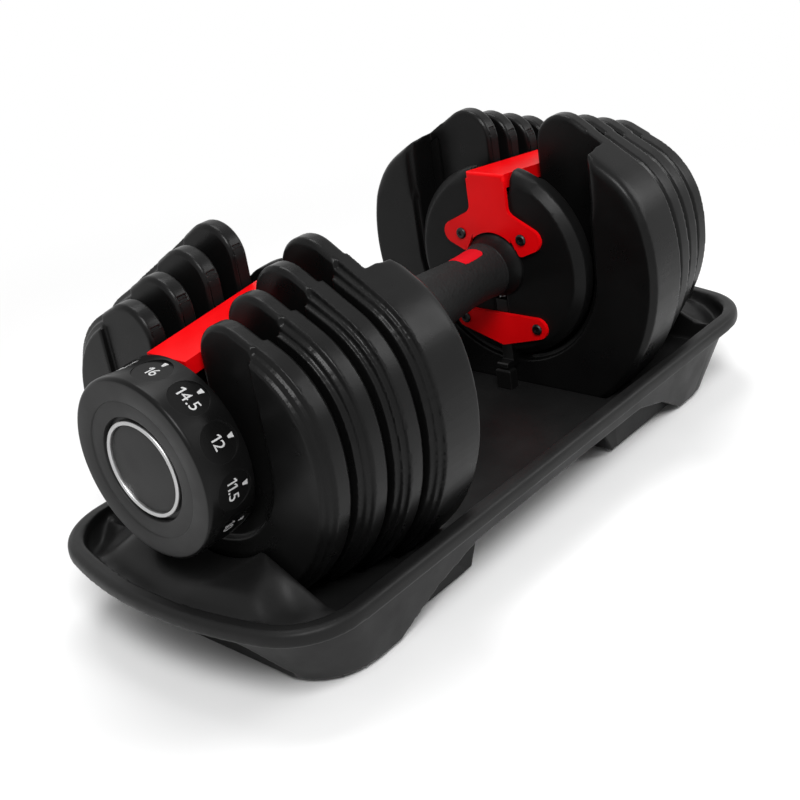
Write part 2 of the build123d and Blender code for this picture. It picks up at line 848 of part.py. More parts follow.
def foot(x, y):
    pad = extrude(Circle(foot_radius), amount=foot_height)
    pad = chamfer(pad.faces().sort_by(Axis.Z)[0].edges(), foot_rounding)
    return Pos(x, y, 0) * pad


def post():
    low = deck_height - post_sink
    high = axis_height + lock_foot_bottom - moving_gap
    shape = block((post_start, -post_half_width, low), (post_end, post_half_width, high))
    return fillet(shape.faces().sort_by(Axis.Z)[-1].edges(), post_rounding)


def lifted(shape):
    return Pos(0, 0, axis_height) * shape


def turned_round(shape):
    return Rot(0, 0, 180) * shape


def save(name, shape):
    export_step(shape, os.path.join("parts", name + ".step"))


def save_pair(name, shape):
    save(name + "_right", lifted(shape))
    save(name + "_left", lifted(turned_round(shape)))


def save_group(name, shapes):
    save(name, Compound(children=[lifted(shape) for shape in shapes]))


os.makedirs("parts", exist_ok=True)

# Tray pieces
save("tray_shell", tray())
save("tray_lock_posts", Compound(children=[post(), turned_round(post())]))
feet = [foot(x, y) for x in (foot_place_x, -foot_place_x) for y in (foot_place_y, -foot_place_y)]
save("tray_feet", Compound(children=feet))

# Handle pieces
save("handle_axle", lifted(axle()))
save("handle_grip", lifted(grip()))
inlay = inlay_prism(0) & grip_body()
save_group("grip_inlays", [inlay, turned_round(inlay)])
save_pair("collar", collar())
save_pair("end_disc", end_disc())
save_pair("bracket", bracket())
save_pair("lock_keeper", keeper())
screws = [screw(y, z) for y, z in screw_places()]
save_group("bracket_screws", screws + [turned_round(shape) for shape in screws])
save_group("dial_bolts", [dial_bolt(), turned_round(dial_bolt())])
save_group("dial_washers", [dial_washer(), turned_round(dial_washer())])
save_pair("lock_slider", lock_slider())
save_pair("lock_spring", lock_spring())

# Dial pieces
recess_floor = dial_face - dial_recess_depth + seat_gap
save_pair("dial_knob", dial_knob())
save_pair("dial_ring", slab(Circle(ring_outer_radius) - Circle(ring_inner_radius),
                            recess_floor, recess_floor + ring_height))
save_pair("dial_cap", slab(Circle(ring_inner_radius - cap_clearance),
                           recess_floor, recess_floor + cap_height))
save_pair("dial_hub", dial_hub())
for number in range(1, plate_count + 1):
    save_pair("selector_disc_" + str(number), selector_disc(number))

# Plates
for number in range(1, plate_count + 1):
    save_pair("plate_moulding_" + str(number), plate_moulding(number))
    save_pair("plate_core_" + str(number), plate_core(number, 0))
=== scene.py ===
import json
from math import cos, hypot, pi, radians, sin

import bmesh
import bpy
import numpy as np
from mathutils import Matrix, Vector, noise


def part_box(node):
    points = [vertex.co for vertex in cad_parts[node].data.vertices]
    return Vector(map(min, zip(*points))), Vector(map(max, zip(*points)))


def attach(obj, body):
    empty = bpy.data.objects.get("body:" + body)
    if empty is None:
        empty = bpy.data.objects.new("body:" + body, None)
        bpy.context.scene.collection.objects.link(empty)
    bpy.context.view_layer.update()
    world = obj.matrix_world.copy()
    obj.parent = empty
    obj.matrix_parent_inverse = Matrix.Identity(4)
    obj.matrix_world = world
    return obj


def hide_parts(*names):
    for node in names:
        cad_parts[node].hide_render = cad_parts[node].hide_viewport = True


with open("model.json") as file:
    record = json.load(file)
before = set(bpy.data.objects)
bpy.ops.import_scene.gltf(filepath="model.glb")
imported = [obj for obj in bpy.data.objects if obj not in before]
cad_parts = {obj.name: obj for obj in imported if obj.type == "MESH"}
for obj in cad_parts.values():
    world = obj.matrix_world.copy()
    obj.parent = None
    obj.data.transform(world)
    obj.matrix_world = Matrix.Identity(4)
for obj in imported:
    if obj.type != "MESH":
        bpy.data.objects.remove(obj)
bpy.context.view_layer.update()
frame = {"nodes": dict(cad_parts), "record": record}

# Units and places taken from the frame
MM = 0.001
SIDES = ("left", "right")
PLATES = (1, 2, 3, 4)
dial_low, dial_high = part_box("dial_knob_right")
grip_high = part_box("handle_grip")[1]
inlay_low, inlay_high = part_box("grip_inlays")
collar_low, collar_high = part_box("collar_right")
ring_low, ring_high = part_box("dial_ring_right")
cap_low, cap_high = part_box("dial_cap_right")
axle_low, axle_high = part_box("handle_axle")
plates_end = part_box("plate_moulding_1_right")[1].x
plates_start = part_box("plate_moulding_4_right")[0].x
axis_height = (dial_low.z + dial_high.z) / 2
axle_radius = (axle_high.z - axle_low.z) / 2
dial_radius = (dial_high.z - dial_low.z) / 2
dial_face = dial_high.x
half_turn = Matrix.Rotation(pi, 4, "Z")

# Camera at the photograph's viewing angle
CAMERA_PLACE = (-0.4800, -0.4426, 0.3653)
CAMERA_TURN = (64.401, 8.328, -49.610)
CAMERA_LENS = 56.86
CAMERA_SENSOR = 36.0

# Studio: floor, distances over which it fades to white, sky light, and lamps by place, size and power
FLOOR_HALF = 4.0
FLOOR_FADE = (0.30, 0.75)
FLOOR_TONES = (0.92, 0.94)
FLOOR_TONE_SCALE = 3.0
FLOOR_ROUGHNESS = (0.6, 0.75)
FLOOR_SHEEN_SCALE = 40.0
SKY_LIGHT = 0.3
LAMP_TARGET = (0, 0, 0.1)
LAMPS = {
    "key": ((-0.75, -0.85, 1.35), 0.6, 22.0),
    "top": ((0.25, 0.35, 1.5), 0.7, 9.0),
    "side": ((0.9, -0.9, 0.8), 0.7, 7.0),
}

# Plastics: dark and light tone, roughness, grain scale and strength, specular level, tone of worn edges
PLASTICS = {
    "tray_plastic": (0.006, 0.009, 0.42, 1300.0, 0.30, 0.15, 0.02),
    "foot_rubber": (0.010, 0.016, 0.78, 900.0, 0.35, 0.25, None),
    "grip_plastic": (0.008, 0.012, 0.55, 1500.0, 0.25, 0.12, None),
    "grey_plastic": (0.045, 0.060, 0.5, 1200.0, 0.25, 0.25, None),
    "black_plastic": (0.004, 0.006, 0.38, 1400.0, 0.25, 0.10, 0.02),
    "dial_plastic": (0.017, 0.023, 0.44, 1600.0, 0.18, 0.14, 0.03),
    "dial_barrel": (0.003, 0.005, 0.30, 1600.0, 0.12, 0.12, 0.015),
    "plate_plastic": (0.003, 0.005, 0.31, 1400.0, 0.22, 0.13, 0.02),
    "core_coat": (0.003, 0.005, 0.5, 1800.0, 0.25, 0.08, None),
}
PLASTIC_TONE_SCALE = 22.0
PLASTIC_SHEEN_SCALE = 60.0
PLASTIC_SHEEN = (-0.06, 0.06)
PLASTIC_GRAIN_DEPTH = 0.12 * MM
WORN_EDGE = 0.9 * MM
SCUFF_SCALE = 140.0

# Cosines between rounded and flat normals that count as an edge and as a flat face
EDGE_COSINES = (0.86, 0.995)

# Most noise values lie between these
NOISE_LOW = 0.3
NOISE_HIGH = 0.7

# Red finishes: dark and light colour, roughness
RED_FINISHES = {
    "red_plastic": ((0.52, 0.003, 0.010, 1), (0.62, 0.004, 0.012, 1), 0.45),
    "red_paint": ((0.72, 0.001, 0.003, 1), (0.80, 0.002, 0.004, 1), 0.36),
}
RED_SPECULAR = 0.1
RED_TONE_SCALE = 35.0
RED_SHEEN_SCALE = 90.0
RED_SHEEN = (-0.05, 0.08)
ORANGE_PEEL_SCALE = 900.0
ORANGE_PEEL_STRENGTH = 0.10
ORANGE_PEEL_DEPTH = 0.1 * MM

# Metals: dark and light tone, roughness, scale of the tool marks
METALS = {
    "axle_steel": (0.42, 0.52, 0.30, 9000.0),
    "black_steel": (0.020, 0.045, 0.42, 5000.0),
    "silver_ring": (0.42, 0.52, 0.36, 14000.0),
}
METAL_SHEEN_SCALE = 120.0
METAL_SHEEN = (-0.06, 0.08)
TOOL_MARK_STRENGTH = 0.15
TOOL_MARK_DEPTH = 0.02 * MM

# Paint of the numbers and ticks
PAINT_TONES = (0.42, 0.58)
PAINT_TONE_SCALE = 700.0
PAINT_ROUGHNESS = (0.45, 0.6)
PAINT_SHEEN_SCALE = 300.0
PAINT_GRAIN_SCALE = 1500.0
PAINT_GRAIN_STRENGTH = 0.1
PAINT_GRAIN_DEPTH = 0.03 * MM

# Turned shapes
LATHE_STEPS = 192
LATHE_SHARP = 35.0
QUARTER_STEPS = 8
SMALL_QUARTER_STEPS = 4
SEAT = 0.05 * MM

# Collars at the ends of the grip
COLLAR_FLARE = 2.8 * MM
COLLAR_LIP = 1.6 * MM
COLLAR_EDGE = 0.4 * MM
COLLAR_RIM_EDGE = 0.3 * MM
COLLAR_CURVE = 2.2
COLLAR_STEPS = 12

# Dial knob and the trim on its face
KNOB_EDGE = 2.4 * MM
KNOB_WALL = 3.5 * MM
KNOB_STEP_RADIUS = 35.0 * MM
KNOB_STEP = 0.6 * MM
KNOB_STEP_SOFT = (0.15 * MM, 0.3 * MM)
KNOB_RECESS_RADIUS = 26.5 * MM
KNOB_RECESS_SOFT = 0.2 * MM
KNOB_POCKET_RADIUS = 10.0 * MM
KNOB_FACE_MARGIN = 1.5 * MM
TRIM_EDGE = 0.7 * MM
RING_WIDTH = 2.2 * MM
RING_EDGE = 0.8 * MM
RING_EDGE_STEPS = 3
CAP_TUCK = 0.25 * MM
CAP_EDGE = 0.5 * MM
CAP_DOME = 0.4 * MM
CAP_DOME_STEPS = 8

# Dial numbers: weights from heaviest to lightest, first one near the top
NUMBERS = ("16", "14.5", "12", "11.5", "10", "9", "8", "7", "5.5", "4.5", "3.5", "2.5")
FIRST_NUMBER_TURN = 8.0
SPOT_RADIUS = 9.6 * MM
SPOT_DEPTH = 1.1 * MM
SPOT_PLACE = 185.0 * MM
SPOT_FLARE = 0.5 * MM
SPOT_SIDES = 64
SPOT_CUTTER_HEIGHT = 8.0 * MM
NUMBER_SIZE = 8.4 * MM
NUMBER_THICKNESS = 0.12 * MM
NUMBER_CURVE_STEPS = 6
LETTER_GAP = 0.75 * MM
FLAG_REACH = 1.3 * MM
FLAG_DROP = 1.0 * MM
FLAG_STROKE = 1.0 * MM
TICK_PLACE = 177.9 * MM
TICK_LENGTH = 3.0 * MM
TICK_WIDE = 2.6 * MM
TICK_NARROW = 1.2 * MM

# Grip: step of its mesh, grain, and beds for the inlays
GRIP_STEP = 0.6 * MM
GRIP_SHARP = 60.0
GRIP_LEAST_RADIUS = 14.9 * MM
GRAIN_SIZE = 1.7 * MM
GRAIN_DEPTH = 0.28 * MM
GRAIN_SLOPE = 1.8
INLAY_TUCK = 0.5 * MM
INLAY_BED = 12.9 * MM

# Angle at which no edge counts as sharp
NO_SHARP = 180.0

# Pull and push that round creases without shrinking the shape
MELT = (0.6, -0.61)

# Pull that rounds corners broadly
SOFTEN = (0.5,)

# Melting of moulded shapes: voxel size, rounds of smoothing, share of the triangles kept
TRAY_VOXEL = 1.0 * MM
TRAY_SOFTEN_ROUNDS = 60
TRAY_MELT_ROUNDS = 24
TRAY_KEEP = 0.11
PLATE_VOXEL = 0.8 * MM
PLATE_MELT_ROUNDS = 5
PLATE_KEEP = 0.09
DISC_MELT_ROUNDS = 6
DISC_KEEP = 0.12
CORNER_SOFTEN_ROUNDS = 50

# Plate troughs of the tray, which keep their thin dividers
TROUGH_HALF_WIDTH = 85.0 * MM
TROUGH_RAMP = 3.0 * MM

# Moat inside the tray's rim and hollow flanks of its saddles; a pair holds the ends of a gradual change
MOAT_DEPTH = 7.0 * MM
MOAT_LEVEL = 38.0 * MM
MOAT_RISE = 5.0 * MM
MOAT_OUTER = (8.0 * MM, 11.0 * MM)
MOAT_INNER = (13.0 * MM, 22.0 * MM)
MOAT_ALONG = (3.0 * MM, 12.0 * MM)
FLANK_DEPTH = 6.0 * MM
FLANK_START = 41.0 * MM
FLANK_STOP = 80.0 * MM
FLANK_INSET = (8.0 * MM, 12.0 * MM)
SADDLE_ALONG = (4.0 * MM, 10.0 * MM)
SADDLE_INSET = (9.0 * MM, 13.0 * MM)
SADDLE_DROP = 4.0 * MM

# Rounded top corners of the innermost plates and of the end discs
FLANGE_RISE = (30.0 * MM, 42.0 * MM)
FLANGE_ALONG = (9.0 * MM, 14.0 * MM)
DISC_RISE = (44.0 * MM, 50.0 * MM)
DISC_ACROSS = (26.0 * MM, 32.0 * MM)

# CAD pieces shown with rounded edges: finish and rounding, for single nodes and for both ends
WELD = 0.003 * MM
FLAT_ANGLE = 0.4
EDGE_ANGLE = 25.0
EDGE_SEGMENTS = 2
ROUNDED = {
    "grip_inlays": ("red_plastic", 0.3 * MM),
    "tray_lock_posts": ("black_plastic", 0.4 * MM),
    "tray_feet": ("foot_rubber", 0.4 * MM),
    "bracket_screws": ("black_steel", 0.2 * MM),
}
ROUNDED_AT_ENDS = {
    "bracket": ("red_paint", 0.4 * MM),
    "lock_keeper": ("red_paint", 0.4 * MM),
    "lock_slider": ("black_steel", 0.3 * MM),
}


# Materials

def shader_of(name):
    material = bpy.data.materials.new(name)
    material.use_nodes = True
    tree = material.node_tree
    return material, tree, tree.nodes["Principled BSDF"]


def node(tree, kind, inputs=None, **settings):
    made = tree.nodes.new(kind)
    for key, value in settings.items():
        setattr(made, key, value)
    for key, value in (inputs or {}).items():
        if isinstance(value, bpy.types.NodeSocket):
            tree.links.new(value, made.inputs[key])
        else:
            made.inputs[key].default_value = value
    return made


def grey(level):
    return (level, level, level, 1.0)


def noise_of(tree, scale, detail=3.0, roughness=0.55):
    place = node(tree, "ShaderNodeTexCoord").outputs["Object"]
    return node(tree, "ShaderNodeTexNoise", {"Vector": place, "Scale": scale, "Detail": detail,
                                             "Roughness": roughness}).outputs["Fac"]


def spread(tree, value, low, high, start=NOISE_LOW, stop=NOISE_HIGH):
    made = node(tree, "ShaderNodeMapRange", {"Value": value, "From Min": start, "From Max": stop,
                                             "To Min": low, "To Max": high})
    return made.outputs["Result"]


def maths(tree, operation, first, second):
    return node(tree, "ShaderNodeMath", {0: first, 1: second}, operation=operation).outputs["Value"]


def vector_maths(tree, operation, *vectors):
    return node(tree, "ShaderNodeVectorMath", dict(enumerate(vectors)), operation=operation).outputs


def blend(tree, factor, first, second):
    made = node(tree, "ShaderNodeMix", data_type="RGBA")
    tree.links.new(factor, made.inputs[0])
    for socket, colour in ((made.inputs[6], first), (made.inputs[7], second)):
        if isinstance(colour, bpy.types.NodeSocket):
            tree.links.new(colour, socket)
        else:
            socket.default_value = colour
    return made.outputs[2]


def mottled(tree, scale, dark, light, detail=4.0):
    # Colour that drifts between two tones
    return blend(tree, spread(tree, noise_of(tree, scale, detail), 0.0, 1.0), dark, light)


def sheen(tree, scale, rough, change, detail=3.0):
    # Roughness that drifts about its middle value
    less, more = change
    return spread(tree, noise_of(tree, scale, detail), rough + less, rough + more)


def edge_mask(tree, radius):
    # One along sharp edges and nought on flat faces
    bevel = node(tree, "ShaderNodeBevel", {"Radius": radius}, samples=4).outputs["Normal"]
    flat = node(tree, "ShaderNodeNewGeometry").outputs["Normal"]
    return spread(tree, vector_maths(tree, "DOT_PRODUCT", bevel, flat)["Value"], 1.0, 0.0, *EDGE_COSINES)


def finish_material(tree, shader, colour, roughness):
    tree.links.new(colour, shader.inputs["Base Color"])
    tree.links.new(roughness, shader.inputs["Roughness"])


def add_grain(tree, shader, height, strength, distance):
    bump = node(tree, "ShaderNodeBump", {"Height": height, "Strength": strength, "Distance": distance})
    tree.links.new(bump.outputs["Normal"], shader.inputs["Normal"])


def moulded_plastic(name, dark, light, rough, grain, strength, specular, worn):
    # Satin moulding: spark-eroded grain, broad tone changes and, where given, paler polished edges
    material, tree, shader = shader_of(name)
    shader.inputs["Specular IOR Level"].default_value = specular
    colour = mottled(tree, PLASTIC_TONE_SCALE, grey(dark), grey(light))
    if worn is not None:
        scuff = maths(tree, "MULTIPLY", edge_mask(tree, WORN_EDGE), noise_of(tree, SCUFF_SCALE, detail=4.0))
        colour = blend(tree, scuff, colour, grey(worn))
    roughness = sheen(tree, PLASTIC_SHEEN_SCALE, rough, PLASTIC_SHEEN, detail=5.0)
    finish_material(tree, shader, colour, roughness)
    add_grain(tree, shader, noise_of(tree, grain, detail=2.0, roughness=0.6), strength, PLASTIC_GRAIN_DEPTH)
    return material


def red_finish(name, dark, light, rough):
    # Smooth red coat with fine orange peel
    material, tree, shader = shader_of(name)
    shader.inputs["Specular IOR Level"].default_value = RED_SPECULAR
    colour = mottled(tree, RED_TONE_SCALE, dark, light)
    roughness = sheen(tree, RED_SHEEN_SCALE, rough, RED_SHEEN)
    finish_material(tree, shader, colour, roughness)
    peel = noise_of(tree, ORANGE_PEEL_SCALE, detail=2.0)
    add_grain(tree, shader, peel, ORANGE_PEEL_STRENGTH, ORANGE_PEEL_DEPTH)
    return material


def metal(name, dark, light, rough, marks):
    # Bare or plated metal with tool marks round the handle axis
    material, tree, shader = shader_of(name)
    shader.inputs["Metallic"].default_value = 1.0
    place = node(tree, "ShaderNodeTexCoord").outputs["Object"]
    local = vector_maths(tree, "ADD", place, (0.0, 0.0, -axis_height))["Vector"]
    across = vector_maths(tree, "MULTIPLY", local, (0.0, 1.0, 1.0))["Vector"]
    radius = vector_maths(tree, "LENGTH", across)["Value"]
    line = node(tree, "ShaderNodeTexNoise", {"W": radius, "Scale": marks, "Detail": 4.0},
                noise_dimensions="1D").outputs["Fac"]
    colour = blend(tree, spread(tree, line, 0.0, 1.0), grey(dark), grey(light))
    roughness = sheen(tree, METAL_SHEEN_SCALE, rough, METAL_SHEEN, detail=4.0)
    finish_material(tree, shader, colour, roughness)
    add_grain(tree, shader, line, TOOL_MARK_STRENGTH, TOOL_MARK_DEPTH)
    return material


def number_paint():
    material, tree, shader = shader_of("number_paint")
    dark, light = PAINT_TONES
    colour = mottled(tree, PAINT_TONE_SCALE, grey(dark), grey(light))
    roughness = spread(tree, noise_of(tree, PAINT_SHEEN_SCALE), *PAINT_ROUGHNESS)
    finish_material(tree, shader, colour, roughness)
    add_grain(tree, shader, noise_of(tree, PAINT_GRAIN_SCALE), PAINT_GRAIN_STRENGTH, PAINT_GRAIN_DEPTH)
    return material


def seen_rays(tree):
    # One for rays that show the background directly, in a mirror or through glass
    path = node(tree, "ShaderNodeLightPath")
    seen = path.outputs["Is Camera Ray"]
    for ray in ("Is Glossy Ray", "Is Transmission Ray"):
        seen = maths(tree, "MAXIMUM", seen, path.outputs[ray])
    return seen


def floor_material():
    # Pale matt floor that fades into the white background away from the object
    material, tree, shader = shader_of("floor")
    dark, light = FLOOR_TONES
    colour = mottled(tree, FLOOR_TONE_SCALE, grey(dark), grey(light), detail=3.0)
    roughness = spread(tree, noise_of(tree, FLOOR_SHEEN_SCALE), *FLOOR_ROUGHNESS)
    finish_material(tree, shader, colour, roughness)
    place = node(tree, "ShaderNodeTexCoord").outputs["Object"]
    away = vector_maths(tree, "LENGTH", place)["Value"]
    near, far = FLOOR_FADE
    fade = node(tree, "ShaderNodeMapRange", {"Value": away, "From Min": near, "From Max": far},
                interpolation_type="SMOOTHSTEP").outputs["Result"]
    white = node(tree, "ShaderNodeEmission", {"Color": grey(1.0), "Strength": 1.0})
    mix = node(tree, "ShaderNodeMixShader", {0: maths(tree, "MULTIPLY", fade, seen_rays(tree))})
    tree.links.new(shader.outputs["BSDF"], mix.inputs[1])
    tree.links.new(white.outputs["Emission"], mix.inputs[2])
    tree.links.new(mix.outputs["Shader"], tree.nodes["Material Output"].inputs["Surface"])
    return material


MATERIALS = {"number_paint": number_paint()}
for recipe, finishes in ((moulded_plastic, PLASTICS), (red_finish, RED_FINISHES), (metal, METALS)):
    for name, values in finishes.items():
        MATERIALS[name] = recipe(name, *values)


# Pieces

def add_piece(name, mesh, body, materials):
    piece = bpy.data.objects.new(name, mesh)
    bpy.context.scene.collection.objects.link(piece)
    # Clearing would also forget which face has which material, so an empty list is left alone
    if mesh.materials:
        mesh.materials.clear()
    for material in materials:
        mesh.materials.append(MATERIALS[material])
    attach(piece, body)
    return piece


def body_of_node(name):
    return next(body for body, members in frame["record"]["behaviour"]["bodies"].items() if name in members)


def stand_in(name, mesh, *materials):
    # New piece in the place of a CAD node, on the same body and with the given finishes
    piece = add_piece(name + "_shown", mesh, body_of_node(name), materials)
    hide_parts(name)
    return piece


def stand_in_pair(stem, mesh, *materials):
    # The right-hand mesh, and the same mesh turned round for the left end
    other = mesh.copy()
    other.transform(half_turn)
    stand_in(stem + "_right", mesh, *materials)
    stand_in(stem + "_left", other, *materials)


def at_both_ends(stem):
    return [stem + "_" + side for side in SIDES]


# Mesh helpers

def smooth(mesh, angle):
    for face in mesh.polygons:
        face.use_smooth = True
    mesh.set_sharp_from_angle(angle=radians(angle))


def mesh_from(build, name):
    mesh = bpy.data.meshes.new(name)
    build.to_mesh(mesh)
    build.free()
    return mesh


def final_mesh(holder):
    # Mesh of an object with its modifiers or its curve worked out; the object is deleted
    bpy.context.scene.collection.objects.link(holder)
    bpy.context.view_layer.update()
    mesh = bpy.data.meshes.new_from_object(holder.evaluated_get(bpy.context.evaluated_depsgraph_get()))
    bpy.data.objects.remove(holder)
    return mesh


def points_of(mesh):
    points = np.empty(3 * len(mesh.vertices))
    mesh.vertices.foreach_get("co", points)
    return points.reshape(-1, 3)


def put_points(mesh, points):
    mesh.vertices.foreach_set("co", points.ravel())


def ease(values, start, stop):
    # Smooth step from nought to one
    share = np.clip((values - start) / (stop - start), 0, 1)
    return share * share * (3 - 2 * share)


def plan_hull(points):
    # Corners of the convex outline seen from above, anticlockwise, to a hundredth of a millimetre
    spots = sorted({(round(x, 5), round(y, 5)) for x, y in points[:, :2]})

    def chain(ordered):
        corners = []
        for spot in ordered:
            while len(corners) > 1:
                (ax, ay), (bx, by) = corners[-2:]
                if (bx - ax) * (spot[1] - ay) - (by - ay) * (spot[0] - ax) > 0:
                    break
                corners.pop()
            corners.append(spot)
        return corners[:-1]
    return np.array(chain(spots) + chain(spots[::-1]))


def inset_from(hull, points):
    # Distance of each point inside the outline
    inset = np.full(len(points), np.inf)
    for first, second in zip(hull, np.roll(hull, -1, axis=0)):
        edge = (second - first) / np.hypot(*(second - first))
        away = edge[0] * (points[:, 1] - first[1]) - edge[1] * (points[:, 0] - first[0])
        inset = np.minimum(inset, away)
    return inset


def rounded(name, material, width):
    # Copy of a CAD node with its flat faces merged and its edges rounded
    mesh = frame["nodes"][name].data.copy()
    build = bmesh.new()
    build.from_mesh(mesh)
    bmesh.ops.remove_doubles(build, verts=build.verts, dist=WELD)
    bmesh.ops.dissolve_limit(build, angle_limit=radians(FLAT_ANGLE), verts=build.verts, edges=build.edges)
    build.to_mesh(mesh)
    build.free()
    piece = stand_in(name, mesh, material)
    bevel = piece.modifiers.new("rounding", "BEVEL")
    bevel.width = width
    bevel.segments = EDGE_SEGMENTS
    bevel.limit_method = "ANGLE"
    bevel.angle_limit = radians(EDGE_ANGLE)
    bevel.harden_normals = True
    bevel.miter_outer = "MITER_ARC"
    smooth(mesh, EDGE_ANGLE)


def voxel_copy(name, voxel):
    holder = bpy.data.objects.new("voxels", frame["nodes"][name].data.copy())
    remesh = holder.modifiers.new("remesh", "REMESH")
    remesh.mode = "VOXEL"
    remesh.voxel_size = voxel
    return final_mesh(holder)


def relax(mesh, pulls, softness=None):
    # Smoothing that melts creases; softness scales it by place
    points = points_of(mesh)
    ends = np.empty(2 * len(mesh.edges), dtype=np.int32)
    mesh.edges.foreach_get("vertices", ends)
    here = np.concatenate((ends[0::2], ends[1::2]))
    there = np.concatenate((ends[1::2], ends[0::2]))
    count = len(points)
    neighbours = np.bincount(here, minlength=count)[:, None]
    amount = 1.0 if softness is None else softness(points)[:, None]
    for pull in pulls:
        middle = np.stack([np.bincount(here, points[there, axis], count) for axis in range(3)], axis=1)
        points = points + (middle / neighbours - points) * pull * amount
    put_points(mesh, points)


def thinned(mesh, keep):
    # Fewer triangles without sharp edges, with shading that follows the large ones
    smooth(mesh, NO_SHARP)
    holder = bpy.data.objects.new("thinned", mesh)
    holder.modifiers.new("thin_out", "DECIMATE").ratio = keep
    holder.modifiers.new("even_shading", "WEIGHTED_NORMAL").mode = "FACE_AREA"
    return final_mesh(holder)


def melted(name, voxel, rounds, keep, softness=None):
    # Copy of a CAD node whose edges flow into each other as in a moulding, more so where softness says
    mesh = voxel_copy(name, voxel)
    if softness is not None:
        relax(mesh, SOFTEN * CORNER_SOFTEN_ROUNDS, softness)
    relax(mesh, MELT * rounds)
    return thinned(mesh, keep)


def ring_of(build, along, radius, steps):
    # Corners of a circle round the handle axis
    angles = [2 * pi * step / steps for step in range(steps)]
    return [build.verts.new((along, radius * sin(a), axis_height + radius * cos(a))) for a in angles]


def join_rings(build, first, second):
    # Faces between two rings, which are triangles where one ring is a single point
    steps = len(first)
    for step in range(steps):
        after = (step + 1) % steps
        corners = [first[step], second[step], second[after], first[after]]
        build.faces.new(list(dict.fromkeys(corners)))


def lathe(profile, closed=True):
    # Surface turned about the handle axis from distance and radius pairs
    build = bmesh.new()
    rings = []
    for along, radius in profile:
        if radius == 0:
            rings.append([build.verts.new((along, 0, axis_height))] * LATHE_STEPS)
        else:
            rings.append(ring_of(build, along, radius, LATHE_STEPS))
    for first, second in zip(rings, rings[1:]):
        join_rings(build, first, second)
    if closed:
        join_rings(build, rings[-1], rings[0])
    bmesh.ops.recalc_face_normals(build, faces=build.faces)
    mesh = mesh_from(build, "lathe")
    smooth(mesh, LATHE_SHARP)
    return mesh


def quarter(centre, radius, start, steps=QUARTER_STEPS):
    # Points of a quarter circle in the lathe's plane, from a start angle on
    angles = [radians(start + 90.0 * step / steps) for step in range(steps + 1)]
    return [(centre[0] + radius * cos(a), centre[1] + radius * sin(a)) for a in angles]


# CAD nodes that stay as they are

def dress(names, material):
    for name in names:
        mesh = frame["nodes"][name].data
        mesh.materials.clear()
        mesh.materials.append(MATERIALS[material])


def dress_inner_pieces():
    dress(["handle_axle"], "axle_steel")
    dress(["dial_bolts", "dial_washers"], "black_steel")
    dress(at_both_ends("lock_spring"), "axle_steel")
    dress(at_both_ends("dial_hub"), "grey_plastic")
    for number in PLATES:
        dress(at_both_ends("selector_disc_" + str(number)), "grey_plastic")
        dress(at_both_ends("plate_core_" + str(number)), "core_coat")


# Tray

def tray_softness(points):
    # Full at the ends, the rim and the deck, nought among the thin dividers of the plate troughs
    along = np.abs(points[:, 0])
    across = np.abs(points[:, 1])
    beyond = np.clip((along - plates_end - TROUGH_RAMP) / TROUGH_RAMP, 0, 1)
    inside = np.clip((plates_start - TROUGH_RAMP - along) / TROUGH_RAMP, 0, 1)
    outside = np.clip((across - TROUGH_HALF_WIDTH) / TROUGH_RAMP, 0, 1)
    return np.maximum.reduce([beyond, inside, outside])


def saddle_softness(points):
    # Full on the upper faces of the saddles, nought on the rim and below
    along = np.abs(points[:, 0]) - plates_end
    inset = inset_from(tray_plan, points)
    height = ease(points[:, 2], MOAT_LEVEL - SADDLE_DROP, MOAT_LEVEL)
    return ease(along, *SADDLE_ALONG) * ease(inset, *SADDLE_INSET) * height


def dig_tray(points):
    # Deepens the moat along the inside of the rim and hollows the flanks of the saddles
    along = np.abs(points[:, 0]) - plates_end
    across = np.abs(points[:, 1])
    inset = inset_from(tray_plan, points)
    upper = ease(along, *MOAT_ALONG) * ease(points[:, 2], MOAT_LEVEL, MOAT_LEVEL + MOAT_RISE)
    moat = ease(inset, *MOAT_OUTER) * (1 - ease(inset, *MOAT_INNER))
    share = np.clip((across - FLANK_START) / (FLANK_STOP - FLANK_START), 0, 1)
    flank = np.sin(pi * share) ** 2 * ease(inset, *FLANK_INSET)
    points[:, 2] -= upper * np.maximum(MOAT_DEPTH * moat, FLANK_DEPTH * flank)
    return points


def build_tray():
    mesh = voxel_copy("tray_shell", TRAY_VOXEL)
    put_points(mesh, dig_tray(points_of(mesh)))
    relax(mesh, SOFTEN * TRAY_SOFTEN_ROUNDS, saddle_softness)
    relax(mesh, MELT * TRAY_MELT_ROUNDS, tray_softness)
    stand_in("tray_shell", thinned(mesh, TRAY_KEEP), "tray_plastic")


# Plates, end discs and collars

def flange_softness(points):
    # Full on the top corners of the innermost plate's flange
    rise = points[:, 2] - axis_height
    along = points[:, 0] - plates_start
    return ease(rise, *FLANGE_RISE) * (1 - ease(along, *FLANGE_ALONG))


def disc_softness(points):
    # Full on the corners beside the slot at the top of the end disc
    rise = points[:, 2] - axis_height
    return ease(rise, *DISC_RISE) * (1 - ease(np.abs(points[:, 1]), *DISC_ACROSS))


def build_plates():
    for number in PLATES:
        stem = "plate_moulding_" + str(number)
        softness = flange_softness if number == PLATES[-1] else None
        mesh = melted(stem + "_right", PLATE_VOXEL, PLATE_MELT_ROUNDS, PLATE_KEEP, softness)
        stand_in_pair(stem, mesh, "plate_plastic")


def build_end_discs():
    mesh = melted("end_disc_right", PLATE_VOXEL, DISC_MELT_ROUNDS, DISC_KEEP, disc_softness)
    stand_in_pair("end_disc", mesh, "black_plastic")


